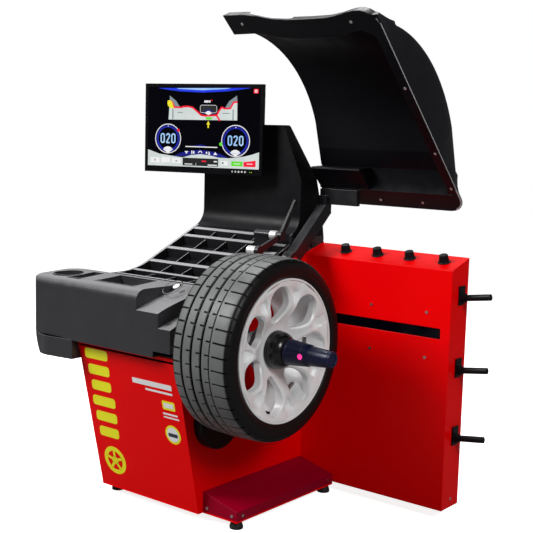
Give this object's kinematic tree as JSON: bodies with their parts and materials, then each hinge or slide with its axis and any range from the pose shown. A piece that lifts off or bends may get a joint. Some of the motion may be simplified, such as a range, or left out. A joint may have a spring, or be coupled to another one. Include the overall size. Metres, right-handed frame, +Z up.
{
  "type": "wheel balancer machine",
  "caption": "Floor-standing wheel balancer with a red cabinet, weight tray, monitor column, lifting wheel guard, rear storage panel and a wheel clamped on its shaft.",
  "frame": {"origin": "centre of the four floor feet, on the floor", "axes": "+X along the shaft, away from the cabinet; -Y is the operator's side; +Z up"},
  "size_m": [1.4615, 0.9409, 1.768],
  "materials": {
    "red_paint": "gloss",
    "black_rubber": "matt",
    "zinc": "satin",
    "steel": "satin",
    "cast": "rough",
    "motor_paint": "satin",
    "board_green": "satin",
    "sensor_brass": "satin",
    "tray_plastic": "satin",
    "black_plastic": "satin",
    "guard_plastic": "gloss",
    "grip_pad": "gloss",
    "monitor_plastic": "gloss",
    "screen": "gloss",
    "window_glass": "gloss",
    "tyre_rubber": "matt",
    "alloy": "satin",
    "lead": "satin",
    "nut_plastic": "gloss",
    "nut_navy": "satin",
    "pink_button": "gloss",
    "rocker_red": "gloss",
    "chrome_sleeve": "polished"
  },
  "bodies": {
    "machine": {"base_plate": "red_paint", "rubber_feet": "black_rubber", "cabinet_body": "red_paint", "cabinet_back_cover": "red_paint", "cover_screws": "zinc", "foot_step": "red_paint", "spindle_deck": "motor_paint", "spindle_housing": "cast", "spindle_bearings": "steel", "force_sensors": "sensor_brass", "motor": "motor_paint", "drive_belt": "black_rubber", "encoder_sensor": "board_green", "power_supply": "zinc", "main_board": "board_green", "power_inlet": "black_plastic", "spindle_cover": "black_plastic", "tray_fascia": "tray_plastic", "tray_bed": "tray_plastic", "tray_row_ribs": "tray_plastic", "tray_dividers": "tray_plastic", "tray_skirts": "tray_plastic", "column_shell": "black_plastic", "column_back_cover": "black_plastic", "control_computer": "zinc", "guard_bearings": "cast", "guard_stop": "black_rubber", "monitor_bracket": "motor_paint", "panel_box": "red_paint", "panel_back_cover": "red_paint", "scanner_window": "window_glass", "scanner_rail": "steel", "top_pegs": "black_plastic", "side_pegs": "black_plastic", "gauge_bush": "black_plastic"},
    "spindle": {"spindle_shaft": "steel", "backing_flange": "cast", "centring_cone": "steel", "spindle_pulley": "cast", "encoder_disc": "zinc"},
    "motor_rotor": {"motor_pulley": "steel"},
    "power_rocker": {"switch_rocker": "rocker_red"},
    "wheel": {"tyre": "tyre_rubber", "rim": "alloy", "valve": "black_rubber", "balance_weights": "lead"},
    "quick_nut": {"nut_cup": "nut_plastic", "nut_grip": "nut_navy"},
    "nut_release": {"nut_button": "pink_button"},
    "guard": {"guard_hood": "guard_plastic", "guard_grip": "grip_pad", "guard_arm": "motor_paint", "guard_shaft": "steel"},
    "monitor_swivel": {"monitor_yoke": "motor_paint"},
    "monitor": {"monitor_case": "monitor_plastic", "screen_glass": "screen"},
    "gauge_slider": {"gauge_rod": "chrome_sleeve"},
    "gauge": {"gauge_arm": "black_plastic", "gauge_tip": "chrome_sleeve"},
    "scanner": {"scanner_carriage": "motor_paint"}
  },
  "joints": [
    {"name": "shaft_spin", "type": "hinge", "parent": "machine", "child": "spindle", "pos_m": [0, -0.205, 0.64], "axis": [1, 0, 0], "continuous": true},
    {"name": "motor_spin", "type": "hinge", "parent": "machine", "child": "motor_rotor", "pos_m": [-0.19, -0.04, 0.34], "axis": [1, 0, 0], "continuous": true},
    {"name": "wheel_off", "type": "slide", "parent": "spindle", "child": "wheel", "axis": [1, 0, 0], "range_m": [0, 0.19]},
    {"name": "nut_off", "type": "slide", "parent": "spindle", "child": "quick_nut", "axis": [1, 0, 0], "range_m": [0, 0.21]},
    {"name": "nut_press", "type": "slide", "parent": "quick_nut", "child": "nut_release", "axis": [0, 1, 0], "range_m": [0, 0.003], "stiffness_N_per_m": 600},
    {"name": "guard_hinge", "type": "hinge", "parent": "machine", "child": "guard", "pos_m": [0.203, 0.132, 0.895], "axis": [1, 0, 0], "range_deg": [0, 85]},
    {"name": "monitor_swivel_joint", "type": "hinge", "parent": "machine", "child": "monitor_swivel", "pos_m": [-0.227, 0.196, 1.33], "axis": [0, 0, 1], "range_deg": [-35, 3]},
    {"name": "monitor_tilt", "type": "hinge", "parent": "monitor_swivel", "child": "monitor", "pos_m": [-0.24162, 0.16313, 1.331], "axis": [-0.9677, -0.2521, 0], "range_deg": [-1.5, 15]},
    {"name": "gauge_slide", "type": "slide", "parent": "machine", "child": "gauge_slider", "axis": [-1, 0, 0], "range_m": [-0.06, 0]},
    {"name": "gauge_swing", "type": "hinge", "parent": "gauge_slider", "child": "gauge", "pos_m": [0.163, 0.112, 0.985], "axis": [-1, 0, 0], "range_deg": [0, 60]},
    {"name": "scanner_slide", "type": "slide", "parent": "machine", "child": "scanner", "axis": [1, 0, 0], "range_m": [0, 0.4]},
    {"name": "power_switch", "type": "hinge", "parent": "machine", "child": "power_rocker", "pos_m": [-0.271, 0.4025, 0.28], "axis": [1, 0, 0], "range_deg": [0, 12]}
  ],
  "couplings": [
    {"joint": "motor_spin", "follows": "shaft_spin", "ratio": 3},
    {"joint": "nut_off", "follows": "wheel_off", "ratio": 1.1}
  ]
}
